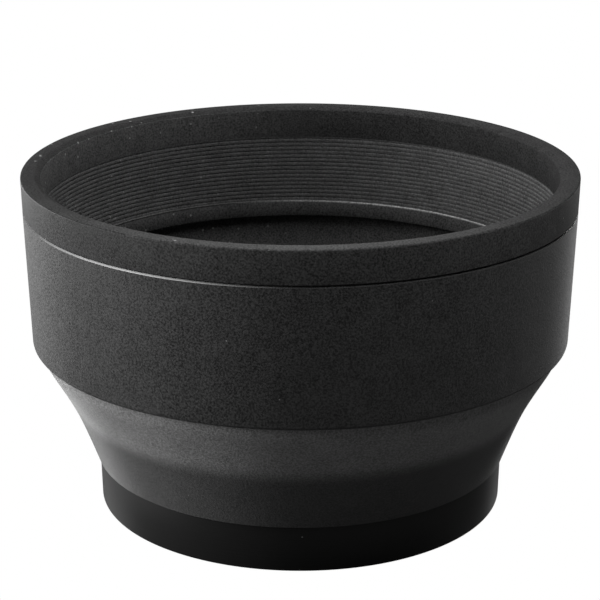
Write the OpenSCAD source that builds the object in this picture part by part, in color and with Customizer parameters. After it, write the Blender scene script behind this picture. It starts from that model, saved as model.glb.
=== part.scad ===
// Collapsible rubber lens hood on a screw-in metal mount.
// It stands on its mount: the origin is the centre of the base, and +Z points to the open front.

/* [Lens thread] */
// Outside diameter of the filter thread that screws into the lens
thread_d = 52; // [46:0.5:58]
// Length of the thread below its flange
thread_len = 3.2; // [2.4:0.1:3.6]
// Height of the thread's free end above the band's lower edge
thread_recess = 0.5; // [0.2:0.1:0.8]
// Lead chamfer at the thread's free end
thread_lead = 0.3; // [0.2:0.05:0.5]
// Wall of the mount ring from its clear bore to the thread
thread_wall = 2.3; // [2.1:0.1:3]

/* [Mount ring] */
// Thickness of the flange that meets the lens's front rim
flange_h = 1.2; // [0.8:0.1:1.4]
// Radial room round the thread for the lens's own front rim
lens_rim_room = 1.2; // [1:0.1:2]
// Radial step from the thread in to the spigot that carries the rubber
spigot_step = 0.4; // [0.3:0.05:0.6]
// Height of the groove round the spigot
groove_h = 1; // [0.6:0.1:1.2]
// Depth of the groove round the spigot
groove_depth = 0.5; // [0.3:0.05:0.6]

/* [Retaining ring] */
// Wall of the skirt pressed into the mount ring
skirt_wall = 0.75; // [0.6:0.05:0.85]
// Depth of the skirt below the collar
skirt_len = 2; // [1.5:0.1:2.4]
// Spare depth below the skirt in its seat
skirt_end_gap = 0.2; // [0.1:0.05:0.3]
// Thickness of the collar that holds the rubber down
collar_h = 0.8; // [0.6:0.1:1.2]
// Gap between the collar and the rubber cuff round it
collar_gap = 0.2; // [0.1:0.05:0.4]
// Width of the two spanner slots in the collar
slot_w = 1.8; // [1.2:0.1:3]
// Depth of the two spanner slots
slot_depth = 0.4; // [0.2:0.05:0.5]

/* [Base band] */
// Height of the outer metal band
band_h = 6.4; // [6.1:0.1:8]
// Wall of the band
band_wall = 0.88; // [0.7:0.02:1.2]
// How much the band's radius falls towards its lower edge
band_draft = 0.15; // [0:0.05:0.3]
// How far the band's lip reaches in over the flange
band_lip = 0.4; // [0.3:0.05:0.5]
// Rounding of the band's outer edges
band_round = 0.25; // [0.1:0.05:0.4]

/* [Neck] */
// How far the rubber stands proud of the band's top edge
neck_overhang = 0.24; // [0.1:0.02:0.5]
// Height of the ledge inside the cuff, above the band, that the collar holds down
ledge_h = 1.1; // [0.8:0.1:2]
// Radial wall of the stiff cuff
cuff_wall = 1.6; // [1.2:0.1:2]
// Height of the cuff, from the band to the crease that the hood folds at
cuff_h = 8.5; // [6:0.1:9]
// Outside diameter of the neck at the crease
crease_d = 62.7; // [60:0.1:65]
// Height of the flexible web, from the crease to the barrel
web_h = 6.7; // [5:0.1:9]
// Radial wall of the flexible web
web_wall = 1.1; // [0.8:0.05:1.2]

/* [Barrel] */
// Height of the plain side from the shoulder's corner to the seam
barrel_h = 18.68; // [17:0.01:30]
// How much the barrel's radius falls from the seam to the shoulder
barrel_draft = 0.64; // [0.2:0.02:1]
// Radial width of the shoulder's underside
shoulder_w = 1.14; // [0.8:0.02:1.6]
// Height that the underside rises from the riser to its corner
shoulder_h = 0.07; // [0.03:0.01:0.6]
// Rounding of the shoulder's corner
shoulder_round = 0.5; // [0.2:0.05:0.5]
// Height of the riser between the web and the shoulder's underside
riser_h = 1.5; // [1:0.1:2]
// Radial step between the web and the riser's top
riser_step = 0.15; // [0.05:0.01:0.3]
// Height of the thick band inside, below the ribs
bore_band_h = 2.45; // [1.5:0.05:4]
// Wall of the thinner barrel below that band
thin_wall = 1.5; // [1.3:0.05:1.8]
// Height inside the shoulder where the thin wall runs in to the neck
thin_fade_h = 1.2; // [0.8:0.1:2]

/* [Ribs] */
// Number of grooves round the inside of the barrel
groove_count = 16; // [8:1:24]
// Distance from one groove to the next
rib_pitch = 0.615; // [0.5:0.005:0.65]
// Depth of the grooves between the ribs
rib_depth = 0.2; // [0.15:0.05:0.4]
// Width of the flat crest of a rib
rib_crest = 0.16; // [0.1:0.01:0.25]
// Width of the flat bottom of a groove
rib_root = 0.1; // [0.05:0.01:0.2]
// Plain strip between the seam and the first groove
rib_margin = 0.05; // [0.05:0.05:1]

/* [Front rim] */
// Outside diameter of the front rim
rim_d = 75; // [73:0.5:80]
// Height of the front rim
rim_h = 4.65; // [3:0.05:8]
// Wall of the front rim
rim_wall = 2.72; // [2.3:0.02:2.9]
// How much the rim's radius falls towards the seam
rim_draft = 0.12; // [0:0.02:0.4]
// Rounding of the rim's outer edge
rim_round = 0.3; // [0.2:0.05:0.8]
// Radial width of the bevel inside the rim's mouth
rim_bevel_w = 0.85; // [0.4:0.05:1.2]
// Height of the bevel inside the rim's mouth
rim_bevel_h = 0.45; // [0.2:0.05:1]
// Chamfer on each side of the seam
seam_chamfer = 0.2; // [0.1:0.01:0.3]
// Width of the tongue that keys the barrel to the rim
tongue_w = 0.8; // [0.6:0.1:1.2]
// Height of the tongue
tongue_h = 1.2; // [0.8:0.1:2]

/* [Fits] */
// Clearance between pieces that nest
fit_gap = 0.02; // [0.01:0.01:0.04]

/* [Hidden] */
$fn = 180;
arc_steps = 5;

// radii of the metal mount, from the thread outwards and inwards
thread_r = thread_d / 2;
bore_r = thread_r - thread_wall;
skirt_r = bore_r + skirt_wall;
spigot_r = thread_r - spigot_step;
groove_r = spigot_r - groove_depth;
flange_r = thread_r + lens_rim_room;
band_r = flange_r + fit_gap + band_wall;
band_lip_r = flange_r - band_lip;

// heights of the metal mount
flange_z = thread_recess + thread_len;
flange_top = flange_z + flange_h;
ledge_z = band_h + ledge_h;
groove_z = (flange_top + ledge_z) / 2 - groove_h / 2;
skirt_z = ledge_z - skirt_len;

// the neck, its crease and the barrel that it carries
crease_z = band_h + cuff_h;
neck_top = crease_z + web_h;
corner_z = neck_top + riser_h + shoulder_h;
seam_z = corner_z + barrel_h;
rim_top = seam_z + rim_h;
rim_r = rim_d / 2;
seam_r = rim_r - rim_draft;
corner_r = seam_r - barrel_draft;
riser_r = corner_r - shoulder_w;
web_top_r = riser_r - riser_step;
barrel_bore_r = web_top_r - web_wall;
rim_bore_r = rim_r - rim_wall;
neck_foot_r = band_r + neck_overhang;
crease_r = crease_d / 2;
ledge_r = neck_foot_r + (crease_r - neck_foot_r) * ledge_h / cuff_h - cuff_wall;
collar_r = ledge_r - collar_gap;

// the shoulder's underside faces this far below the horizontal, and its rounding starts up the side
bevel_angle = atan2(shoulder_w, shoulder_h);
round_z = corner_z + shoulder_round * tan(bevel_angle / 2);

// the ribs hang below the seam
rib_top = seam_z - rib_margin;
rib_end = rib_top - groove_count * rib_pitch;
rib_flank = (rib_pitch - rib_crest - rib_root) / 2;
bore_band_z = rib_end - bore_band_h;
thin_r = corner_r - thin_wall;

// the tongue sits in the middle of the seam's flat face
tongue_r = (rim_bore_r + seam_r - seam_chamfer) / 2;

// points of an arc round [r, z], from angle a to angle b
function arc(r, z, radius, a, b) = [
    for (i = [0 : arc_steps])
        [r + radius * cos(a + (b - a) * i / arc_steps), z + radius * sin(a + (b - a) * i / arc_steps)]
];

// a square corner at [r, z], rounded
function top_outer(r, z, radius) = arc(r - radius, z - radius, radius, 0, 90);
function bottom_outer(r, z, radius) = arc(r - radius, z + radius, radius, -90, 0);

module front_rim() {
    color([0.09, 0.09, 0.09])
    rotate_extrude()
    polygon(concat(
        [
            [rim_bore_r, seam_z],
            [tongue_r - tongue_w / 2 - fit_gap, seam_z],
            [tongue_r - tongue_w / 2 - fit_gap, seam_z + tongue_h + fit_gap],
            [tongue_r + tongue_w / 2 + fit_gap, seam_z + tongue_h + fit_gap],
            [tongue_r + tongue_w / 2 + fit_gap, seam_z],
            [seam_r - seam_chamfer, seam_z],
            [seam_r, seam_z + seam_chamfer]
        ],
        top_outer(rim_r, rim_top, rim_round),
        [
            [rim_bore_r + rim_bevel_w, rim_top],
            [rim_bore_r, rim_top - rim_bevel_h]
        ]
    ));
}

// one groove below height z, as the points that cut it into the barrel's inner face
function rib_points(z) = [
    [rim_bore_r, z - rib_crest / 2],
    [rim_bore_r + rib_depth, z - rib_crest / 2 - rib_flank],
    [rim_bore_r + rib_depth, z - rib_crest / 2 - rib_flank - rib_root],
    [rim_bore_r, z - rib_pitch + rib_crest / 2]
];

module ribbed_barrel() {
    color([0.11, 0.11, 0.11])
    rotate_extrude()
    polygon(concat(
        [
            [barrel_bore_r, neck_top],
            [web_top_r, neck_top],
            [riser_r, neck_top + riser_h]
        ],
        arc(corner_r - shoulder_round, round_z, shoulder_round, -bevel_angle, 0),
        [
            [seam_r, seam_z - seam_chamfer],
            [seam_r - seam_chamfer, seam_z],
            [tongue_r + tongue_w / 2, seam_z],
            [tongue_r + tongue_w / 2, seam_z + tongue_h],
            [tongue_r - tongue_w / 2, seam_z + tongue_h],
            [tongue_r - tongue_w / 2, seam_z],
            [rim_bore_r, seam_z]
        ],
        [for (i = [0 : groove_count - 1]) each rib_points(rib_top - i * rib_pitch)],
        [
            [rim_bore_r, rib_end],
            [barrel_bore_r, rib_end],
            [barrel_bore_r, bore_band_z],
            [thin_r, bore_band_z],
            [thin_r, corner_z + thin_fade_h],
            [riser_r - web_wall, corner_z]
        ]
    ));
}

module fold_web() {
    color([0.2, 0.2, 0.2])
    rotate_extrude()
    polygon([
        [crease_r, crease_z],
        [web_top_r, neck_top],
        [web_top_r - web_wall, neck_top],
        [crease_r - web_wall, crease_z]
    ]);
}

module neck_cuff() {
    lip_z = groove_z + fit_gap;
    lip_h = groove_h - 2 * fit_gap;
    color([0.2, 0.2, 0.2])
    rotate_extrude()
    polygon([
        [spigot_r + fit_gap, flange_top],
        [band_lip_r - fit_gap, flange_top],
        [band_lip_r - fit_gap, band_h],
        [neck_foot_r, band_h],
        [crease_r, crease_z],
        [crease_r - cuff_wall, crease_z],
        [ledge_r, ledge_z],
        [spigot_r + fit_gap, ledge_z],
        [spigot_r + fit_gap, lip_z + lip_h],
        [groove_r + fit_gap, lip_z + lip_h],
        [groove_r + fit_gap, lip_z],
        [spigot_r + fit_gap, lip_z]
    ]);
}

module base_band() {
    color([0.04, 0.04, 0.045])
    rotate_extrude()
    polygon(concat(
        [[flange_r + fit_gap, 0]],
        bottom_outer(band_r - band_draft, 0, band_round),
        top_outer(band_r, band_h, band_round),
        [
            [band_lip_r, band_h],
            [band_lip_r, flange_top],
            [flange_r + fit_gap, flange_top]
        ]
    ));
}

module mount_ring() {
    seat_r = skirt_r + fit_gap;
    seat_z = skirt_z - skirt_end_gap;
    color([0.05, 0.05, 0.055])
    rotate_extrude()
    polygon([
        [bore_r, thread_recess],
        [thread_r - thread_lead, thread_recess],
        [thread_r, thread_recess + thread_lead],
        [thread_r, flange_z],
        [flange_r, flange_z],
        [flange_r, flange_top],
        [spigot_r, flange_top],
        [spigot_r, groove_z],
        [groove_r, groove_z],
        [groove_r, groove_z + groove_h],
        [spigot_r, groove_z + groove_h],
        [spigot_r, ledge_z],
        [seat_r, ledge_z],
        [seat_r, seat_z],
        [bore_r, seat_z]
    ]);
}

module retaining_ring() {
    collar_edge = collar_h / 4;
    color([0.05, 0.05, 0.055])
    difference() {
        rotate_extrude()
        polygon([
            [bore_r, skirt_z],
            [skirt_r, skirt_z],
            [skirt_r, ledge_z],
            [collar_r, ledge_z],
            [collar_r, ledge_z + collar_h - collar_edge],
            [collar_r - collar_edge, ledge_z + collar_h],
            [bore_r + collar_edge, ledge_z + collar_h],
            [bore_r, ledge_z + collar_h - collar_edge]
        ]);
        for (side = [-1, 1])
            translate([side * (bore_r + collar_r) / 2, 0, ledge_z + collar_h - slot_depth / 2 + fit_gap])
            cube([2 * (collar_r - bore_r), slot_w, slot_depth + 2 * fit_gap], center = true);
    }
}

front_rim();
ribbed_barrel();
fold_web();
neck_cuff();
base_band();
mount_ring();
retaining_ring();
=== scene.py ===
import math

import bpy
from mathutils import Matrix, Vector


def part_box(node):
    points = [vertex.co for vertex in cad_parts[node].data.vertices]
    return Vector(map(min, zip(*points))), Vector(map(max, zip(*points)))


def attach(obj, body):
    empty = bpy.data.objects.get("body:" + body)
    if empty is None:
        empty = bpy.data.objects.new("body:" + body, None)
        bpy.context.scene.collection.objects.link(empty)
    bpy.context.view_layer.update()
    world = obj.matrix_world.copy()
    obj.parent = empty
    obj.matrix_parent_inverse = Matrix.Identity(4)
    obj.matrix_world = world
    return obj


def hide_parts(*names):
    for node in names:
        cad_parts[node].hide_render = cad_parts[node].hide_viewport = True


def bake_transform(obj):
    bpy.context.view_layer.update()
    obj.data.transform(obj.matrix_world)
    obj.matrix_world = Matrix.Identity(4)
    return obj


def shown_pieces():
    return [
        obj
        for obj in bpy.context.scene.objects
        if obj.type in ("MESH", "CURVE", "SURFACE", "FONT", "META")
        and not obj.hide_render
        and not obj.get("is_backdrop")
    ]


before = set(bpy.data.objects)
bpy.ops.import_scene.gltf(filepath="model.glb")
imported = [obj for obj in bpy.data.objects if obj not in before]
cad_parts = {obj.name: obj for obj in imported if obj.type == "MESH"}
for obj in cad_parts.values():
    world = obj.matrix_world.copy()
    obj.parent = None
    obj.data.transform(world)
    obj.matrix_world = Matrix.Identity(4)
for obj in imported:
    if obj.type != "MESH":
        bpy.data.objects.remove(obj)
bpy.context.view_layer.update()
mm = 0.001

# points of the photograph, 600 by 600: the outline's edges, then places on the hood's rings
imageSize = (600, 600)
imagePoints = {
    "outlineLeft": (18.9, None),
    "outlineRight": (579.2, None),
    "outlineTop": (None, 103.5),
    "outlineBottom": (None, 571.0),
    "farRibTop": (380.0, 141.5),
    "farRibEnd": (380.0, 204.0),
    "nearRimInner": (300.0, 245.5),
    "seamLeft": (134.0, 270.0),
    "seamFront": (260.0, 287.2),
    "seamRight": (472.0, 268.5),
    "shoulderLeft": (122.0, 407.0),
    "shoulderFront": (298.5, 431.9),
    "creaseLeft": (153.0, 457.0),
    "bandLineLeft": (153.0, 503.0),
    "bandLineFront": (268.0, 524.0),
}

# the camera, settled by the outline and the rings above: a long lens, near, looking down
cameraView = {
    "place": (0.0, -261.0, 116.5),  # mm, in the part's own frame
    "aim": (-0.06, 0.0, 27.5),  # mm
    "lens": 120.0,
    "sensorWidth": 36.0,
    "shift": (0.0, 0.0),
    "clip": (0.01, 20),  # m
}


def makeCamera():
    data = bpy.data.cameras.new("photoCamera")
    data.sensor_fit = "AUTO"
    data.sensor_width = cameraView["sensorWidth"]
    data.lens = cameraView["lens"]
    data.shift_x, data.shift_y = cameraView["shift"]
    data.clip_start, data.clip_end = cameraView["clip"]
    camera = bpy.data.objects.new("photoCamera", data)
    bpy.context.collection.objects.link(camera)
    place = Vector(cameraView["place"]) * mm
    aim = Vector(cameraView["aim"]) * mm
    camera.location = place
    camera.rotation_euler = (aim - place).to_track_quat("-Z", "Y").to_euler()
    bpy.context.scene.camera = camera
    bpy.context.view_layer.update()
    return camera


camera = makeCamera()
print("camera set")


# heights and radii that the CAD settles, in mm
def cadBox(node):
    low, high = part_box(node)
    return low / mm, high / mm


rimLow, rimHigh = cadBox("front_rim")
barrelLow = cadBox("ribbed_barrel")[0]
webLow, webHigh = cadBox("fold_web")
cuffLow = cadBox("neck_cuff")[0]
bandHigh = cadBox("base_band")[1]
mountLow, mountHigh = cadBox("mount_ring")
retainerLow, retainerHigh = cadBox("retaining_ring")
levels = {
    "rimTop": rimHigh.z,
    "seam": rimLow.z,
    "neckTop": barrelLow.z,
    "crease": webLow.z,
    "bandTop": bandHigh.z,
    "flangeTop": cuffLow.z,
    "ledge": mountHigh.z,
    "threadEnd": mountLow.z,
    "collarTop": retainerHigh.z,
    "skirtEnd": retainerLow.z,
}
fineTurns = 288  # steps round each turned piece
roundSegments = 4
smallSegments = 2  # on the edges that are too small for more
mergeWithin = {"turned": 0.002, "cut": 0.001}  # mm


# modelling steps that the pieces share
def pickOut(piece):
    bpy.ops.object.select_all(action="DESELECT")
    piece.select_set(True)
    bpy.context.view_layer.objects.active = piece


def editMode(piece):
    pickOut(piece)
    bpy.ops.object.mode_set(mode="EDIT")
    bpy.ops.mesh.select_mode(type="VERT")


def objectMode():
    bpy.ops.object.mode_set(mode="OBJECT")


def mergeDoubles(within):
    bpy.ops.mesh.select_all(action="SELECT")
    bpy.ops.mesh.remove_doubles(threshold=within * mm)
    bpy.ops.mesh.select_all(action="SELECT")


def turnFacesOut():
    bpy.ops.mesh.select_all(action="SELECT")
    bpy.ops.mesh.normals_make_consistent(inside=False)


def turnPiece(name, outline, turns=fineTurns):
    # the outline is drawn point by point beside the axis, closed, and spun once round it
    bpy.ops.object.select_all(action="DESELECT")
    firstR, firstZ = outline[0]
    bpy.ops.mesh.primitive_plane_add(size=mm, location=(firstR * mm, 0, firstZ * mm))
    piece = bpy.context.object
    piece.name = name
    piece.data.name = name
    editMode(piece)
    bpy.ops.mesh.select_all(action="SELECT")
    bpy.ops.mesh.merge(type="CENTER")
    closed = outline + outline[:1]
    for (fromR, fromZ), (toR, toZ) in zip(closed, closed[1:]):
        step = ((toR - fromR) * mm, 0, (toZ - fromZ) * mm)
        bpy.ops.mesh.extrude_region_move(TRANSFORM_OT_translate={"value": step})
    mergeDoubles(mergeWithin["turned"])
    bpy.ops.mesh.spin(steps=turns, angle=math.tau, center=(0, 0, 0), axis=(0, 0, 1))
    mergeDoubles(mergeWithin["turned"])
    turnFacesOut()
    objectMode()
    bpy.ops.object.transform_apply(location=True, rotation=True, scale=True)
    return piece


def selectRing(piece, radius, height, within=0.03):
    # vertices round the axis at this radius and height, in mm
    for vertex in piece.data.vertices:
        place = vertex.co / mm
        onRadius = abs(math.hypot(place.x, place.y) - radius) < within
        vertex.select = onRadius and abs(place.z - height) < within


def roundRing(piece, radius, height, width, segments=roundSegments):
    # a round edge where two turned faces meet
    editMode(piece)
    bpy.ops.mesh.select_all(action="DESELECT")
    objectMode()
    selectRing(piece, radius, height)
    editMode(piece)
    bpy.ops.mesh.bevel(offset=width * mm, segments=segments, profile=0.5, affect="EDGES")
    objectMode()


def smoothFaces(piece, degrees=32):
    pickOut(piece)
    bpy.ops.object.shade_smooth_by_angle(angle=math.radians(degrees))


# front rim: a thick stiff band, with a fine seam below it
rimShape = {
    "wall": 2.72,
    "draft": 0.12,
    "seamChamfer": 0.2,
    "outerEdge": 0.3,
    "bevelWidth": 0.85,
    "bevelHeight": 0.45,
    "bevelEdge": 0.12,
}


def makeFrontRim():
    outer = rimHigh.x
    inner = outer - rimShape["wall"]
    mouth = inner + rimShape["bevelWidth"]
    seamR = outer - rimShape["draft"]
    chamfer = rimShape["seamChamfer"]
    top, seam = levels["rimTop"], levels["seam"]
    outline = [
        (inner, seam),
        (seamR - chamfer, seam),
        (seamR, seam + chamfer),
        (outer, top),
        (mouth, top),
        (inner, top - rimShape["bevelHeight"]),
    ]
    rim = turnPiece("frontRim", outline)
    roundRing(rim, outer, top, rimShape["outerEdge"])
    roundRing(rim, mouth, top, rimShape["bevelEdge"], smallSegments)
    roundRing(rim, inner, top - rimShape["bevelHeight"], rimShape["bevelEdge"], smallSegments)
    smoothFaces(rim)
    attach(rim, "hood")
    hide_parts("front_rim")
    return rim


frontRim = makeFrontRim()
print("front rim made")

# barrel: a plain side over a flat shoulder, and inside it the ribs that stop reflections
barrelShape = {
    "shoulderWidth": 1.14,
    "shoulderHeight": 0.07,
    "shoulderRound": 0.48,
    "riserHeight": 1.5,
    "riserStep": 0.15,
    "coreStep": 0.27,  # the neck's skin runs up over the riser and hides its core
    "webWall": 1.1,
    "boreBand": 2.45,
    "boreEdge": 0.15,
    "thinWall": 1.5,
    "thinFade": 1.2,
}
ribShape = {
    "count": 16,
    "pitch": 0.615,
    "depth": 0.07,
    "crest": 0.16,
    "underside": 0.05,
    "root": 0.1,
    "margin": 0.05,
    "ledgeEdge": 0.1,
}
riserRadius = webHigh.x + barrelShape["riserStep"]
seamRadius = rimHigh.x - rimShape["draft"]
cornerRadius = riserRadius + barrelShape["shoulderWidth"]
cornerLevel = levels["neckTop"] + barrelShape["riserHeight"] + barrelShape["shoulderHeight"]
rimBore = rimHigh.x - rimShape["wall"]
barrelBore = webHigh.x - barrelShape["webWall"]
ribTop = levels["seam"] - ribShape["margin"]
ribEnd = ribTop - ribShape["count"] * ribShape["pitch"]


def ribOutline():
    # down the inside from the seam: a rib's crest and its steep underside,
    # then a root and the next rib's shelf
    root = rimBore + ribShape["depth"]
    points = []
    for groove in range(ribShape["count"]):
        crestTop = ribTop - groove * ribShape["pitch"] + ribShape["crest"] / 2
        crestEnd = crestTop - ribShape["crest"]
        rootTop = crestEnd - ribShape["underside"]
        points.append((rimBore, crestEnd))
        points.append((root, rootTop))
        points.append((root, rootTop - ribShape["root"]))
        points.append((rimBore, crestTop - ribShape["pitch"]))
    return points


def makeBarrel():
    seam, neckTop = levels["seam"], levels["neckTop"]
    chamfer = rimShape["seamChamfer"]
    riserTop = neckTop + barrelShape["riserHeight"]
    core = riserRadius - barrelShape["coreStep"]
    outline = [
        (barrelBore, neckTop),
        (core, neckTop),
        (core, riserTop),
        (riserRadius, riserTop),
        (cornerRadius, cornerLevel),
        (seamRadius, seam - chamfer),
        (seamRadius - chamfer, seam),
        (rimBore, seam),
    ]
    outline += ribOutline()
    boreBandEnd = ribEnd - barrelShape["boreBand"]
    thinBore = cornerRadius - barrelShape["thinWall"]
    outline += [
        (rimBore, ribEnd),
        (barrelBore, ribEnd),
        (barrelBore, boreBandEnd),
        (thinBore, boreBandEnd),
        (thinBore, cornerLevel + barrelShape["thinFade"]),
        (riserRadius - barrelShape["webWall"], cornerLevel),
    ]
    barrel = turnPiece("ribbedBarrel", outline)
    roundRing(barrel, cornerRadius, cornerLevel, barrelShape["shoulderRound"])
    roundRing(barrel, barrelBore, ribEnd, ribShape["ledgeEdge"], smallSegments)
    roundRing(barrel, barrelBore, boreBandEnd, barrelShape["boreEdge"], smallSegments)
    smoothFaces(barrel)
    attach(barrel, "hood")
    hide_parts("ribbed_barrel")
    return barrel


ribbedBarrel = makeBarrel()
print("barrel made")

# neck: a stiff cuff up to the crease and a thin web above it, one moulding that bends at the fold
neckShape = {
    "overhang": 0.24,
    "creaseRadius": 31.35,
    "creaseSoftness": 0.4,
    "riserSoftness": 0.12,
    "cuffWall": 1.6,
    "footRadius": 26.78,
    "footBore": 25.62,
    "ledgeRoom": 0.2,  # mm; no step of the inside comes closer above the ledge
    "cuffSteps": 12,
    "webSteps": 28,
    "riserSteps": 8,
    "riserSkin": 0.25,
}
neckFoot = bandHigh.x + neckShape["overhang"]


def neckRadius(height):
    # two straight cones run softly into each other at the crease, and into the riser above them
    crease, top, foot = levels["crease"], levels["neckTop"], levels["bandTop"]
    lowSlope = (neckShape["creaseRadius"] - neckFoot) / (crease - foot)
    highSlope = (webHigh.x - neckShape["creaseRadius"]) / (top - crease)
    riserSlope = barrelShape["riserStep"] / barrelShape["riserHeight"]
    low = neckShape["creaseRadius"] + lowSlope * (height - crease)
    high = neckShape["creaseRadius"] + highSlope * (height - crease)
    riser = webHigh.x + riserSlope * (height - top)
    cones = (low + high) / 2 + math.hypot((high - low) / 2, neckShape["creaseSoftness"])
    return (cones + riser) / 2 - math.hypot((riser - cones) / 2, neckShape["riserSoftness"])


def spread(start, end, steps):
    return [start + (end - start) * i / steps for i in range(steps + 1)]


def makeNeck():
    crease, top, foot = levels["crease"], levels["neckTop"], levels["bandTop"]
    flange, ledge = levels["flangeTop"], levels["ledge"]
    riserTop = top + barrelShape["riserHeight"]
    cuffHeights = spread(foot, crease, neckShape["cuffSteps"])
    webHeights = spread(crease, top, neckShape["webSteps"])[1:]
    riserHeights = spread(top, riserTop, neckShape["riserSteps"])[1:]
    outer = [(neckRadius(z), z) for z in cuffHeights + webHeights + riserHeights]
    skin = riserRadius - neckShape["riserSkin"]
    webWall, cuffWall = barrelShape["webWall"], neckShape["cuffWall"]
    inner = [(skin, riserTop), (skin, top)]
    inner += [(neckRadius(z) - webWall, z) for z in reversed(webHeights)]
    cuffInner = [z for z in reversed(cuffHeights) if z > ledge + neckShape["ledgeRoom"]]
    inner += [(neckRadius(z) - cuffWall, z) for z in cuffInner]
    bottom = [
        (neckRadius(ledge) - cuffWall, ledge),
        (neckShape["footBore"], ledge),
        (neckShape["footBore"], flange),
        (neckShape["footRadius"], flange),
        (neckShape["footRadius"], foot),
    ]
    neck = turnPiece("foldingNeck", outer + inner + bottom)
    smoothFaces(neck)
    return neck


foldingNeck = makeNeck()
print("neck made")

# base band: the smooth metal sleeve that the hood stands on
bandShape = {
    "wall": 0.88,
    "draft": 0.15,
    "lip": 0.4,
    "edge": 0.22,
    "mouthEdge": 0.12,
    "gap": 0.02,
}


def makeBand():
    outer = bandHigh.x
    inner = outer - bandShape["wall"]
    lipInner = inner - bandShape["gap"] - bandShape["lip"]
    top, flange = levels["bandTop"], levels["flangeTop"]
    outline = [
        (inner, 0),
        (outer - bandShape["draft"], 0),
        (outer, top),
        (lipInner, top),
        (lipInner, flange),
        (inner, flange),
    ]
    band = turnPiece("baseBand", outline)
    roundRing(band, outer - bandShape["draft"], 0, bandShape["edge"])
    roundRing(band, outer, top, bandShape["edge"])
    roundRing(band, inner, 0, bandShape["mouthEdge"], smallSegments)
    smoothFaces(band)
    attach(band, "mount")
    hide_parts("base_band")
    return band


baseBand = makeBand()
print("base band made")

# threaded mount: flange, spigot and bore turned in one, with the lens thread cut round it
mountShape = {
    "threadRadius": 26.0,
    "threadWall": 2.3,
    "lead": 0.3,
    "flange": 1.2,
    "flangeEdge": 0.1,
    "boreEdge": 0.15,
    "spigotStep": 0.4,
    "skirtWall": 0.75,
    "skirtGap": 0.2,
    "reliefHeight": 0.45,
    "reliefDepth": 0.45,
}
threadShape = {
    "pitch": 0.75,
    "depth": 0.42,
    "turns": 5,
    "stepsPerTurn": 120,
    "crestHalf": 0.328,  # half the groove's width at the crest
    "rootHalf": 0.086,
    "clearance": 0.05,  # how far the cutter stands out of the crest
    "runOut": 0.4,  # from the flange down to the last turn's middle
}
boreRadius = mountShape["threadRadius"] - mountShape["threadWall"]


def cutAway(piece, cutter):
    pickOut(piece)
    cut = piece.modifiers.new("cut", "BOOLEAN")
    cut.operation = "DIFFERENCE"
    cut.solver = "EXACT"
    cut.object = cutter
    bpy.ops.object.modifier_apply(modifier=cut.name)
    bpy.data.objects.remove(cutter, do_unlink=True)
    editMode(piece)
    mergeDoubles(mergeWithin["cut"])
    turnFacesOut()
    objectMode()


def makeThreadCutter(flange):
    # a groove's section stands beside the axis, and a Screw modifier runs it up its helix
    crest = mountShape["threadRadius"] + threadShape["clearance"]
    root = mountShape["threadRadius"] - threadShape["depth"]
    start = flange - threadShape["runOut"] - threadShape["turns"] * threadShape["pitch"]
    bpy.ops.object.select_all(action="DESELECT")
    middle = ((crest + root) / 2 * mm, 0, start * mm)
    bpy.ops.mesh.primitive_plane_add(size=mm, location=middle, rotation=(math.pi / 2, 0, 0))
    cutter = bpy.context.object
    bpy.ops.object.transform_apply(location=True, rotation=True, scale=True)
    for vertex in cutter.data.vertices:
        outer = vertex.co.x > middle[0]
        half = threadShape["crestHalf"] if outer else threadShape["rootHalf"]
        vertex.co.x = (crest if outer else root) * mm
        vertex.co.z = middle[2] + math.copysign(half * mm, vertex.co.z - middle[2])
    editMode(cutter)
    bpy.ops.mesh.select_all(action="SELECT")
    bpy.ops.mesh.delete(type="ONLY_FACE")
    objectMode()
    helix = cutter.modifiers.new("helix", "SCREW")
    helix.axis = "Z"
    helix.angle = math.tau
    helix.screw_offset = threadShape["pitch"] * mm
    helix.iterations = threadShape["turns"]
    helix.steps = threadShape["stepsPerTurn"]
    helix.render_steps = threadShape["stepsPerTurn"]
    bpy.ops.object.modifier_apply(modifier=helix.name)
    editMode(cutter)
    mergeDoubles(mergeWithin["cut"])
    bpy.ops.mesh.fill_holes(sides=4)
    turnFacesOut()
    objectMode()
    return cutter


def makeMount():
    thread = mountShape["threadRadius"]
    flangeR = mountHigh.x
    spigot = thread - mountShape["spigotStep"]
    seat = boreRadius + mountShape["skirtWall"] + bandShape["gap"]
    end, ledge, flangeTop = levels["threadEnd"], levels["ledge"], levels["flangeTop"]
    flange = flangeTop - mountShape["flange"]
    relief = flange - mountShape["reliefHeight"]
    root = thread - mountShape["reliefDepth"]
    outline = [
        (boreRadius, end),
        (thread - mountShape["lead"], end),
        (thread, end + mountShape["lead"]),
        (thread, relief),
        (root, relief),
        (root, flange),
        (flangeR, flange),
        (flangeR, flangeTop),
        (spigot, flangeTop),
        (spigot, ledge),
        (seat, ledge),
        (seat, levels["skirtEnd"] - mountShape["skirtGap"]),
        (boreRadius, levels["skirtEnd"] - mountShape["skirtGap"]),
    ]
    mount = turnPiece("threadedMount", outline, threadShape["stepsPerTurn"])
    roundRing(mount, flangeR, flange, mountShape["flangeEdge"], smallSegments)
    roundRing(mount, boreRadius, end, mountShape["boreEdge"], smallSegments)
    cutAway(mount, makeThreadCutter(flange))
    smoothFaces(mount)
    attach(mount, "mount")
    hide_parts("mount_ring")
    return mount


threadedMount = makeMount()
print("mount made")

# retaining ring: its collar holds the rubber down and has two slots for a spanner
retainerShape = {
    "collarEdge": 0.2,
    "edgeSegments": 3,
    "slotWidth": 1.8,
    "slotDepth": 0.4,
    "slotOverrun": 2,  # how much longer the cutting bar is than the collar is wide
}


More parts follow.
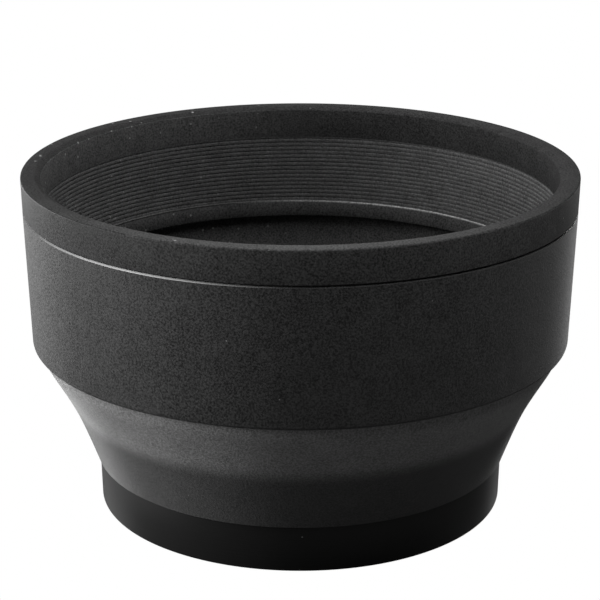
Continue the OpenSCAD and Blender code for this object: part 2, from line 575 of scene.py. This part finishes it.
def makeSlotCutter(collar, top):
    bpy.ops.object.select_all(action="DESELECT")
    bpy.ops.mesh.primitive_cube_add(size=mm, location=(0, 0, top * mm))
    bar = bpy.context.object
    length = 2 * collar + retainerShape["slotOverrun"]
    bar.scale = (length, retainerShape["slotWidth"], 2 * retainerShape["slotDepth"])
    bpy.ops.object.transform_apply(location=True, rotation=True, scale=True)
    return bar


def makeRetainer():
    collar = retainerHigh.x
    skirt = boreRadius + mountShape["skirtWall"]
    ledge, top = levels["ledge"], levels["collarTop"]
    edge, segments = retainerShape["collarEdge"], retainerShape["edgeSegments"]
    outline = [
        (boreRadius, levels["skirtEnd"]),
        (skirt, levels["skirtEnd"]),
        (skirt, ledge),
        (collar, ledge),
        (collar, top),
        (boreRadius, top),
    ]
    retainer = turnPiece("retainingRing", outline)
    roundRing(retainer, collar, top, edge, segments)
    roundRing(retainer, boreRadius, top, edge, segments)
    cutAway(retainer, makeSlotCutter(collar, top))
    smoothFaces(retainer)
    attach(retainer, "mount")
    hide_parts("retaining_ring")
    return retainer


retainingRing = makeRetainer()
print("retaining ring made")

# finishes: shader groups first, then one material for each of the real finishes
def addNode(tree, kind, label, **settings):
    node = tree.nodes.new(kind)
    node.label = label
    for setting, value in settings.items():
        setattr(node, setting, value)
    return node


def feed(tree, value, socket):
    # a link where the value comes from another node, and otherwise the socket's own value
    if isinstance(value, bpy.types.NodeSocket):
        tree.links.new(value, socket)
    else:
        socket.default_value = value


def calculate(tree, operation, *values):
    node = addNode(tree, "ShaderNodeMath", operation.lower(), operation=operation)
    for value, socket in zip(values, node.inputs):
        feed(tree, value, socket)
    return node.outputs[0]


def blendValue(tree, mask, low, high):
    # low where the mask is 0, high where it is 1
    node = addNode(tree, "ShaderNodeMapRange", "blend")
    feed(tree, mask, node.inputs["Value"])
    feed(tree, low, node.inputs["To Min"])
    feed(tree, high, node.inputs["To Max"])
    return node.outputs["Result"]


def rampBetween(tree, value, start, end):
    # 0 below the start and 1 above the end, softly
    node = addNode(tree, "ShaderNodeMapRange", "ramp", interpolation_type="SMOOTHSTEP")
    feed(tree, value, node.inputs["Value"])
    feed(tree, start, node.inputs["From Min"])
    feed(tree, end, node.inputs["From Max"])
    return node.outputs["Result"]


def newGroup(name, inputs, outputs):
    group = bpy.data.node_groups.new(name, "ShaderNodeTree")
    for label, value in inputs.items():
        kind = "NodeSocketVector" if value is None else "NodeSocketFloat"
        socket = group.interface.new_socket(name=label, in_out="INPUT", socket_type=kind)
        if value is not None:
            socket.default_value = value
    for label in outputs:
        group.interface.new_socket(name=label, in_out="OUTPUT", socket_type="NodeSocketFloat")
    entry = addNode(group, "NodeGroupInput", "in")
    leave = addNode(group, "NodeGroupOutput", "out")
    return group, entry.outputs, leave.inputs


def placeGroup(tree, group, **values):
    node = addNode(tree, "ShaderNodeGroup", group.name, node_tree=group)
    for label, value in values.items():
        feed(tree, value, node.inputs[label])
    return node.outputs


def makeTurnedPlace():
    # where a point is on a turned piece: radius and height in mm, its turn from 0 to 1,
    # and which side it lies on, from -1 on the left to 1 on the right
    outputs = ("Radius", "Height", "Turn", "Side")
    group, given, result = newGroup("turnedPlace", {"Place": None}, outputs)
    split = addNode(group, "ShaderNodeSeparateXYZ", "split")
    feed(group, given["Place"], split.inputs[0])
    x, y, z = split.outputs
    xSquare = calculate(group, "MULTIPLY", x, x)
    ySquare = calculate(group, "MULTIPLY", y, y)
    radius = calculate(group, "SQRT", calculate(group, "ADD", xSquare, ySquare))
    share = calculate(group, "DIVIDE", calculate(group, "ARCTAN2", y, x), math.tau)
    feed(group, calculate(group, "DIVIDE", radius, mm), result["Radius"])
    feed(group, calculate(group, "DIVIDE", z, mm), result["Height"])
    feed(group, calculate(group, "ADD", share, 0.5), result["Turn"])
    feed(group, calculate(group, "DIVIDE", x, radius), result["Side"])
    return group


def makeSoftBand():
    # 1 at the middle of a band, and softly down to 0 at half its width on each side
    given = {"Value": 0.0, "Middle": 0.0, "HalfWidth": 1.0}
    group, given, result = newGroup("softBand", given, ("Mask",))
    away = calculate(group, "SUBTRACT", given["Value"], given["Middle"])
    share = calculate(group, "DIVIDE", calculate(group, "ABSOLUTE", away), given["HalfWidth"])
    faded = rampBetween(group, share, 0.0, 1.0)
    feed(group, calculate(group, "SUBTRACT", 1.0, faded), result["Mask"])
    return group


def addNoise(tree, label, look, **settings):
    # a noise, and the same with its middle values spread over 0 to 1
    noise = addNode(tree, "ShaderNodeTexNoise", label, **settings)
    noise.inputs["Detail"].default_value = look["detail"]
    noise.inputs["Roughness"].default_value = look["roughness"]
    return noise, rampBetween(tree, noise.outputs["Fac"], look["low"], look["high"])


noiseLook = {
    "Grain": {"detail": 3.0, "roughness": 0.6, "low": 0.3, "high": 0.7},
    "Cloud": {"detail": 5.0, "roughness": 0.62, "low": 0.32, "high": 0.68},
    "Rings": {"detail": 3.0, "roughness": 0.5, "low": 0.3, "high": 0.7},
}


def makeMouldedGrain():
    # the even grain of moulded rubber, with slow clouds of paler and darker skin
    given = {"Place": None, "GrainScale": 4.0, "CloudScale": 0.32, "Cloudiness": 0.15}
    group, given, result = newGroup("mouldedGrain", given, ("Tone", "Height"))
    noises, tones = {}, {}
    for name in ("Grain", "Cloud"):
        noises[name], tones[name] = addNoise(group, name, noiseLook[name])
        feed(group, given["Place"], noises[name].inputs["Vector"])
        scale = calculate(group, "DIVIDE", given[name + "Scale"], mm)
        feed(group, scale, noises[name].inputs["Scale"])
    tone = blendValue(group, given["Cloudiness"], tones["Grain"], tones["Cloud"])
    feed(group, tone, result["Tone"])
    feed(group, noises["Grain"].outputs["Fac"], result["Height"])
    return group


def makeLint():
    # sparse specks of dust and lint: one small dot in a few of the cells
    given = {"Place": None, "Spacing": 3.0, "DotSize": 0.1, "Share": 0.3}
    group, given, result = newGroup("lint", given, ("Mask",))
    cells = addNode(group, "ShaderNodeTexVoronoi", "cells")
    feed(group, given["Place"], cells.inputs["Vector"])
    perMm = calculate(group, "DIVIDE", 1.0, given["Spacing"])
    feed(group, calculate(group, "DIVIDE", perMm, mm), cells.inputs["Scale"])
    size = calculate(group, "MULTIPLY", given["DotSize"], perMm)
    dot = calculate(group, "LESS_THAN", cells.outputs["Distance"], size)
    split = addNode(group, "ShaderNodeSeparateColor", "split")
    feed(group, cells.outputs["Color"], split.inputs[0])
    chosen = calculate(group, "LESS_THAN", split.outputs[0], given["Share"])
    feed(group, calculate(group, "MULTIPLY", dot, chosen), result["Mask"])
    return group


def makeTurningMarks():
    # fine rings left by the lathe: they follow the profile, so radius and height both move them
    given = {"Radius": 0.0, "Height": 0.0, "Fineness": 9.0}
    group, given, result = newGroup("turningMarks", given, ("Tone", "Height"))
    along = calculate(group, "ADD", given["Radius"], given["Height"])
    rings, tone = addNoise(group, "rings", noiseLook["Rings"], noise_dimensions="1D")
    feed(group, calculate(group, "MULTIPLY", along, given["Fineness"]), rings.inputs["W"])
    rings.inputs["Scale"].default_value = 1.0
    feed(group, tone, result["Tone"])
    feed(group, rings.outputs["Fac"], result["Height"])
    return group


turnedPlace = makeTurnedPlace()
softBand = makeSoftBand()
mouldedGrain = makeMouldedGrain()
lint = makeLint()
turningMarks = makeTurningMarks()
print("shader groups made")


def greyColour(tree, value):
    colour = addNode(tree, "ShaderNodeCombineColor", "grey")
    for socket in colour.inputs:
        feed(tree, value, socket)
    return colour.outputs[0]


def startMaterial(name, look):
    # a new material, its shader with its plain settings, and where a point lies on the piece
    material = bpy.data.materials.new(name)
    material.use_nodes = True
    tree = material.node_tree
    shader = tree.nodes["Principled BSDF"]
    shader.inputs["Specular IOR Level"].default_value = look["gloss"]
    shader.inputs["Sheen Weight"].default_value = look.get("sheen", 0.0)
    shader.inputs["Sheen Roughness"].default_value = look.get("sheenRoughness", 0.5)
    if look.get("restPlace"):
        source = addNode(tree, "ShaderNodeAttribute", "rest", attribute_name=look["restPlace"])
        place = source.outputs["Vector"]
    else:
        place = addNode(tree, "ShaderNodeTexCoord", "object").outputs["Object"]
    return material, tree, shader, place


def speckle(tree, place, tone, look, where=None):
    # lint over a tone, all round or where a mask lets it lie
    specks = placeGroup(tree, lint, Place=place, **look.get("lint", {}))["Mask"]
    if where is not None:
        specks = calculate(tree, "MULTIPLY", specks, where)
    return blendValue(tree, specks, tone, look["lintTone"])


def mottled(tree, tone, grain, look):
    share = blendValue(tree, grain["Tone"], look["mottleLow"], look["mottleHigh"])
    return calculate(tree, "MULTIPLY", tone, share)


def finishMaterial(tree, shader, tone, relief, look):
    # the tone is a plain grey, and the roughness and bump follow the grain or the turning marks
    feed(tree, greyColour(tree, tone), shader.inputs["Base Color"])
    rough = blendValue(tree, relief["Tone"], look["roughLow"], look["roughHigh"])
    feed(tree, rough, shader.inputs["Roughness"])
    bump = addNode(tree, "ShaderNodeBump", "bump")
    bump.inputs["Strength"].default_value = look["bumpStrength"]
    bump.inputs["Distance"].default_value = look["bumpDepth"] * mm
    feed(tree, relief["Height"], bump.inputs["Height"])
    feed(tree, bump.outputs["Normal"], shader.inputs["Normal"])


barrelRubberLook = {
    "gloss": 0.46,
    "sheen": 0.1,
    "sheenRoughness": 0.35,
    "dark": 0.0,
    "pale": 0.06,
    "roughLow": 0.42,
    "roughHigh": 0.76,
    "lintTone": 0.2,
    "bumpStrength": 0.45,
    "bumpDepth": 0.1,
}
rimRubberLook = dict(barrelRubberLook, gloss=0.12, sheen=0.0, dark=0.012, pale=0.062)


def outerRubber(name, look):
    # the outside of the rim and barrel: dense black rubber with a fine grain
    material, tree, shader, place = startMaterial(name, look)
    grain = placeGroup(tree, mouldedGrain, Place=place)
    tone = blendValue(tree, grain["Tone"], look["dark"], look["pale"])
    tone = speckle(tree, place, tone, look)
    finishMaterial(tree, shader, tone, grain, look)
    return material


seamRubberLook = {
    "gloss": 0.05,
    "grainLow": 0.03,
    "grainHigh": 0.02,
    "paintedHighlight": 0.42,
    "paintedHighlightTurn": {"Middle": 0.152, "HalfWidth": 0.1},
    "roughLow": 0.5,
    "roughHigh": 0.7,
    "bumpStrength": 0.6,
    "bumpDepth": 0.08,
}


def seamRubber():
    # the two lips of the parting seam are matt, and the lower one carries a painted highlight in
    # one stretch, where its chamfer would catch the light
    look = seamRubberLook
    material, tree, shader, place = startMaterial("seamRubber", look)
    turned = placeGroup(tree, turnedPlace, Place=place)
    grain = placeGroup(tree, mouldedGrain, Place=place)
    tone = blendValue(tree, grain["Tone"], look["grainLow"], look["grainHigh"])
    # a painted highlight on the lower lip, in one stretch of its turn
    along = placeGroup(tree, softBand, Value=turned["Turn"], **look["paintedHighlightTurn"])
    below = calculate(tree, "LESS_THAN", turned["Height"], levels["seam"])
    paintedHighlight = calculate(tree, "MULTIPLY", along["Mask"], below)
    tone = blendValue(tree, paintedHighlight, tone, look["paintedHighlight"])
    finishMaterial(tree, shader, tone, grain, look)
    return material


innerRubberLook = {
    "gloss": 0.0,
    "top": 0.02,
    "topPaintedHighlight": 0.038,
    "topPaintedHighlightTurn": {"Middle": 0.24, "HalfWidth": 0.2},
    "bevel": 0.018,
    "face": 0.021,
    "facePaintedLight": 0.048,
    "lintAndPaintedLightSide": (0.25, -0.5),  # where the painted light and the lint start, and where they are full
    "crest": 0.048,
    "root": 0.1,
    "bore": 0.042,
    "ledge": 0.01,
    "ledgePaintedHighlight": 0.3,
    "paintedHighlightSide": (-0.45, 0.45),  # where the ledge's painted highlight starts and where it is full
    "ledgeHalf": 0.35,
    "ledgeLip": 0.05,
    "mottleLow": 0.45,
    "mottleHigh": 1.55,
    "roughLow": 0.6,
    "roughHigh": 0.9,
    "lint": {"Spacing": 1.4, "DotSize": 0.18, "Share": 0.55},
    "lintTone": 0.13,
    "bumpStrength": 0.3,
    "bumpDepth": 0.05,
}


def innerRubber():
    # the rim's top and all that faces inwards is dead matt
    look = innerRubberLook
    material, tree, shader, place = startMaterial("innerRubber", look)
    turned = placeGroup(tree, turnedPlace, Place=place)
    radius, height, side = turned["Radius"], turned["Height"], turned["Side"]
    grain = placeGroup(tree, mouldedGrain, Place=place)

    # the rim's top is paler at the front: a painted highlight on the flat top
    paintedHighlight = placeGroup(tree, softBand, Value=turned["Turn"], **look["topPaintedHighlightTurn"])
    tone = blendValue(tree, paintedHighlight["Mask"], look["top"], look["topPaintedHighlight"])
    isBevel = calculate(tree, "LESS_THAN", radius, rimBore + rimShape["bevelWidth"])
    tone = blendValue(tree, isBevel, tone, look["bevel"])

    # paler on the left, where the photograph shows lint: the lint specks are dust, and the paler
    # face under them is painted light
    lintAndPaintedLight = rampBetween(tree, side, *look["lintAndPaintedLightSide"])
    face = blendValue(tree, lintAndPaintedLight, look["face"], look["facePaintedLight"])
    isFace = calculate(tree, "LESS_THAN", height, levels["rimTop"] - rimShape["bevelHeight"])
    tone = blendValue(tree, isFace, tone, face)

    # the ribs are paler in their roots all the way round: painted light that lifts the shade in the
    # grooves
    groove = rampBetween(tree, radius, rimBore, rimBore + ribShape["depth"])
    ribs = blendValue(tree, groove, look["crest"], look["root"])
    isRib = calculate(tree, "LESS_THAN", height, ribTop + ribShape["crest"] / 2)
    tone = blendValue(tree, isRib, tone, ribs)
    isBore = calculate(tree, "LESS_THAN", height, ribEnd)
    tone = blendValue(tree, isBore, tone, look["bore"])

    # the ledge under the ribs is paler on the right: a painted highlight, set from its brightness
    # alone
    worn = rampBetween(tree, side, *look["paintedHighlightSide"])
    ledgeTone = blendValue(tree, worn, look["ledge"], look["ledgePaintedHighlight"])
    ledge = placeGroup(tree, softBand, Value=height, Middle=ribEnd, HalfWidth=look["ledgeHalf"])
    atLip = calculate(tree, "LESS_THAN", radius, barrelBore + look["ledgeLip"])
    isLedge = calculate(tree, "MULTIPLY", ledge["Mask"], atLip)
    tone = blendValue(tree, isLedge, tone, ledgeTone)

    tone = mottled(tree, tone, grain, look)
    tone = speckle(tree, place, tone, look, lintAndPaintedLight)
    finishMaterial(tree, shader, tone, grain, look)
    return material


neckRubberLook = {
    "gloss": 0.5,
    "sheen": 0.3,
    "sheenRoughness": 0.35,
    "restPlace": "restPlace",
    "cuff": 0.054,
    "web": 0.22,
    "changeHalf": 1.6,
    "mottleLow": 0.5,
    "mottleHigh": 1.5,
    "roughLow": 0.48,
    "roughHigh": 0.7,
    "lintTone": 0.4,
    "bumpStrength": 0.7,
    "bumpDepth": 0.1,
}
neckInsideLook = dict(neckRubberLook, gloss=0.1, sheen=0.0, cuff=0.028, web=0.042, lintTone=0.13)


def neckRubber(name, look):
    # paler above the crease, on the web: partly painted light for the bounce from the floor below,
    # and partly the web's own paler tone
    material, tree, shader, place = startMaterial(name, look)
    turned = placeGroup(tree, turnedPlace, Place=place)
    grain = placeGroup(tree, mouldedGrain, Place=place)
    low = levels["crease"] - look["changeHalf"]
    high = levels["crease"] + look["changeHalf"]
    above = rampBetween(tree, turned["Height"], low, high)
    tone = blendValue(tree, above, look["cuff"], look["web"])
    tone = mottled(tree, tone, grain, look)
    tone = speckle(tree, place, tone, look)
    finishMaterial(tree, shader, tone, grain, look)
    return material


bandBlackLook = {
    "gloss": 0.42,
    "sheen": 0.2,
    "sheenRoughness": 0.35,
    "dark": 0.001,
    "pale": 0.006,
    "wornEdge": 0.05,
    "topHalf": 0.25,
    "footHalf": 0.3,
    "patchy": (0.55, 0.9),  # the grain's tones between which the wear sets in
    "roughLow": 0.34,
    "roughHigh": 0.5,
    "lint": {"Share": 0.15},
    "lintTone": 0.15,
    "bumpStrength": 0.25,
    "bumpDepth": 0.03,
}


def bandBlack():
    # satin black with fine turning marks, and a little worn along both edges
    look = bandBlackLook
    material, tree, shader, place = startMaterial("bandBlack", look)
    turned = placeGroup(tree, turnedPlace, Place=place)
    radius, height = turned["Radius"], turned["Height"]
    marks = placeGroup(tree, turningMarks, Radius=radius, Height=height)
    grain = placeGroup(tree, mouldedGrain, Place=place)
    tone = blendValue(tree, marks["Tone"], look["dark"], look["pale"])
    topLevel, topHalf = levels["bandTop"], look["topHalf"]
    top = placeGroup(tree, softBand, Value=height, Middle=topLevel, HalfWidth=topHalf)
    foot = placeGroup(tree, softBand, Value=height, Middle=0.0, HalfWidth=look["footHalf"])
    edges = calculate(tree, "MAXIMUM", top["Mask"], foot["Mask"])
    worn = calculate(tree, "MULTIPLY", edges, rampBetween(tree, grain["Tone"], *look["patchy"]))
    tone = blendValue(tree, worn, tone, look["wornEdge"])
    tone = speckle(tree, place, tone, look)
    finishMaterial(tree, shader, tone, marks, look)
    return material


mountBlackLook = {
    "gloss": 0.5,
    "dark": 0.012,
    "pale": 0.02,
    "bare": 0.35,
    "bareMetal": 0.9,
    "markFineness": 6.0,
    "grainScale": 1.2,
    "crestHalf": 0.08,
    "patchy": (0.4, 0.8),  # the grain's tones between which the metal shows through
    "roughLow": 0.34,
    "roughHigh": 0.48,
    "bumpStrength": 0.2,
    "bumpDepth": 0.02,
}


def mountBlack():
    # black anodised, with the thread's crests rubbed through to bright metal in places
    look = mountBlackLook
    material, tree, shader, place = startMaterial("mountBlack", look)
    turned = placeGroup(tree, turnedPlace, Place=place)
    radius, height = turned["Radius"], turned["Height"]
    fineness, half = look["markFineness"], look["crestHalf"]
    marks = placeGroup(tree, turningMarks, Radius=radius, Height=height, Fineness=fineness)
    grain = placeGroup(tree, mouldedGrain, Place=place, GrainScale=look["grainScale"])
    tone = blendValue(tree, marks["Tone"], look["dark"], look["pale"])
    thread = mountShape["threadRadius"]
    crest = placeGroup(tree, softBand, Value=radius, Middle=thread, HalfWidth=half)
    below = calculate(tree, "LESS_THAN", height, levels["flangeTop"] - mountShape["flange"])
    worn = calculate(tree, "MULTIPLY", crest["Mask"], below)
    worn = calculate(tree, "MULTIPLY", worn, rampBetween(tree, grain["Tone"], *look["patchy"]))
    tone = blendValue(tree, worn, tone, look["bare"])
    feed(tree, blendValue(tree, worn, 0.0, look["bareMetal"]), shader.inputs["Metallic"])
    finishMaterial(tree, shader, tone, marks, look)
    return material


def keepRestPlace(piece, name):
    # the neck bends, so its finish follows where each vertex was at rest
    pickOut(piece)
    bpy.ops.geometry.attribute_add(name=name, domain="POINT", data_type="FLOAT_VECTOR")
    rest = piece.data.attributes[name]
    for vertex, place in zip(piece.data.vertices, rest.data):
        place.vector = vertex.co


finishRules = {
    "outwards": 0.1,  # a face that looks out from the axis by more than this is outside
    "upwards": 0.3,
    "outerWall": 0.6,  # mm
}


def looksOutwards(face):
    # 1 for a face that looks straight out from the axis, and -1 for one that looks at it
    middle = face.center / mm
    radius = math.hypot(middle.x, middle.y)
    return (face.normal.x * middle.x + face.normal.y * middle.y) / radius


def finishFaces(piece, outside, inside, lips):
    # each face takes its finish from where it looks: inwards and up is matt
    for finish in (outside, inside, lips):
        piece.data.materials.append(finish)
    for face in piece.data.polygons:
        middle = face.center / mm
        isOutside = looksOutwards(face) >= finishRules["outwards"]
        isDeep = math.hypot(middle.x, middle.y) < rimHigh.x - finishRules["outerWall"]
        isTop = middle.z > rimLow.z and face.normal.z > finishRules["upwards"]
        atSeam = abs(middle.z - levels["seam"]) < rimShape["seamChamfer"]
        if isDeep and not isOutside or isTop:
            face.material_index = 1
        elif atSeam and isOutside:
            face.material_index = 2


def finishNeck(outside, inside):
    foldingNeck.data.materials.append(outside)
    foldingNeck.data.materials.append(inside)
    for face in foldingNeck.data.polygons:
        if looksOutwards(face) < 0:
            face.material_index = 1


keepRestPlace(foldingNeck, neckRubberLook["restPlace"])
insideFinish = innerRubber()
seamFinish = seamRubber()
finishFaces(frontRim, outerRubber("rimRubber", rimRubberLook), insideFinish, seamFinish)
barrelFinish = outerRubber("barrelRubber", barrelRubberLook)
finishFaces(ribbedBarrel, barrelFinish, insideFinish, seamFinish)
neckFinish = neckRubber("neckRubber", neckRubberLook)
finishNeck(neckFinish, neckRubber("neckInside", neckInsideLook))
baseBand.data.materials.append(bandBlack())
mountMetal = mountBlack()
threadedMount.data.materials.append(mountMetal)
retainingRing.data.materials.append(mountMetal)
print("finishes made")

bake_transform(foldingNeck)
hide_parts("fold_web", "neck_cuff")

# a plain white floor: the lens sees it bright, and it throws little light back up
floorLook = {"size": 6, "seen": 1.0, "bounce": 0.06}


def makeFloor():
    bpy.ops.object.select_all(action="DESELECT")
    bpy.ops.mesh.primitive_plane_add(size=floorLook["size"], location=(0, 0, 0))
    floor = bpy.context.object
    floor.name = "floor"
    paper = bpy.data.materials.new("floorPaper")
    paper.use_nodes = True
    tree = paper.node_tree
    tree.nodes.remove(tree.nodes["Principled BSDF"])
    bounce = addNode(tree, "ShaderNodeBsdfDiffuse", "bounce")
    bounce.inputs["Color"].default_value = (*[floorLook["bounce"]] * 3, 1)
    glow = addNode(tree, "ShaderNodeEmission", "seen")
    glow.inputs["Strength"].default_value = floorLook["seen"]
    path = addNode(tree, "ShaderNodeLightPath", "path")
    mix = addNode(tree, "ShaderNodeMixShader", "mix")
    feed(tree, path.outputs["Is Camera Ray"], mix.inputs[0])
    feed(tree, bounce.outputs[0], mix.inputs[1])
    feed(tree, glow.outputs[0], mix.inputs[2])
    feed(tree, mix.outputs[0], tree.nodes["Material Output"].inputs["Surface"])
    floor.data.materials.append(paper)
    floor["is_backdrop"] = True


makeFloor()

# round soft lights about the hood: azimuth and elevation in degrees, width in m, power in W
softLights = {
    "overheadBackRight": (60, 68, 0.32, 3.46),
    "overheadRight": (0, 68, 0.32, 3.28),
    "overheadFront": (300, 68, 0.32, 2.78),
    "leftLow": (180, 4, 0.15, 2.6),
    "leftHigh": (180, 45, 0.32, 2.72),
    "left": (180, 20, 0.32, 1.4),
    "frontLeft": (210, 20, 0.32, 0.5),
    "frontLeftHigh": (210, 45, 0.32, 0.69),
    "backLeftLow": (135, 4, 0.15, 4.6),
    "backRightLow": (60, 4, 0.15, 1.8),
}
lightRing = {"distance": 0.7, "aimHeight": 0.025, "lowestMiddle": 0.09}


def makeLight(name, azimuth, elevation, width, power):
    turn, rise = math.radians(azimuth), math.radians(elevation)
    aim = Vector((0, 0, lightRing["aimHeight"]))
    way = Vector((math.cos(rise) * math.cos(turn), math.cos(rise) * math.sin(turn), math.sin(rise)))
    place = aim + way * lightRing["distance"]
    place.z = max(place.z, lightRing["lowestMiddle"])
    data = bpy.data.lights.new(name, "AREA")
    data.shape = "DISK"
    data.size = width
    data.energy = power
    light = bpy.data.objects.new(name, data)
    bpy.context.collection.objects.link(light)
    light.location = place
    light.rotation_euler = (place - aim).to_track_quat("Z", "Y").to_euler()


for lightName, values in softLights.items():
    makeLight(lightName, *values)


def makeSky():
    # white where the lens looks past the floor, and dark for everything else
    sky = bpy.data.worlds.new("studio")
    sky.use_nodes = True
    tree = sky.node_tree
    background = tree.nodes["Background"]
    background.inputs["Color"].default_value = (1, 1, 1, 1)
    path = addNode(tree, "ShaderNodeLightPath", "path")
    feed(tree, path.outputs["Is Camera Ray"], background.inputs["Strength"])
    bpy.context.scene.world = sky


makeSky()
bpy.context.scene.view_settings.view_transform = "Standard"
print("floor and lights set")


# how far each named point shows from where the photograph has it
def cameraFrame():
    longSide = max(imageSize)
    shiftX, shiftY = cameraView["shift"]
    depth = longSide * cameraView["lens"] / cameraView["sensorWidth"]
    return longSide, shiftX, shiftY, depth


def shownAt(point):
    longSide, shiftX, shiftY, depth = cameraFrame()
    seen = camera.matrix_world.inverted() @ point
    x = imageSize[0] / 2 - shiftX * longSide - seen.x / seen.z * depth
    y = imageSize[1] / 2 + shiftY * longSide + seen.y / seen.z * depth
    return x, y


def ringShown(radius, height, side):
    # a ring's points as the camera sees them, on its near or far half
    points = []
    for step in range(fineTurns):
        angle = math.pi * (step / fineTurns + (1 if side == "near" else 0))
        spot = Vector((radius * math.cos(angle), radius * math.sin(angle), height)) * mm
        points.append(shownAt(spot))
    return points


rings = {
    "farRibTop": (rimBore, ribTop, "far"),
    "farRibEnd": (rimBore, ribEnd, "far"),
    "nearRimInner": (rimBore + rimShape["bevelWidth"], levels["rimTop"], "near"),
    "seamLeft": (seamRadius, levels["seam"], "near"),
    "seamFront": (seamRadius, levels["seam"], "near"),
    "seamRight": (seamRadius, levels["seam"], "near"),
    "shoulderLeft": (cornerRadius, cornerLevel, "near"),
    "shoulderFront": (cornerRadius, cornerLevel, "near"),
    "creaseLeft": (neckShape["creaseRadius"], levels["crease"], "near"),
    "bandLineLeft": (neckFoot, levels["bandTop"], "near"),
    "bandLineFront": (neckFoot, levels["bandTop"], "near"),
}


def writePoints():
    report = {}
    shown = []
    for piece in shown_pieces():
        shown += [shownAt(piece.matrix_world @ v.co) for v in piece.data.vertices]
    report["outlineLeft"] = [min(x for x, y in shown) - imagePoints["outlineLeft"][0], None]
    report["outlineRight"] = [max(x for x, y in shown) - imagePoints["outlineRight"][0], None]
    report["outlineTop"] = [None, min(y for x, y in shown) - imagePoints["outlineTop"][1]]
    report["outlineBottom"] = [None, max(y for x, y in shown) - imagePoints["outlineBottom"][1]]
    for name, (radius, height, side) in rings.items():
        x, y = imagePoints[name]
        near = min(ringShown(radius, height, side), key=lambda p: math.hypot(p[0] - x, p[1] - y))
        report[name] = [near[0] - x, near[1] - y]
    for name, off in report.items():
        report[name] = [None if v is None else round(v, 2) for v in off]


writePoints()
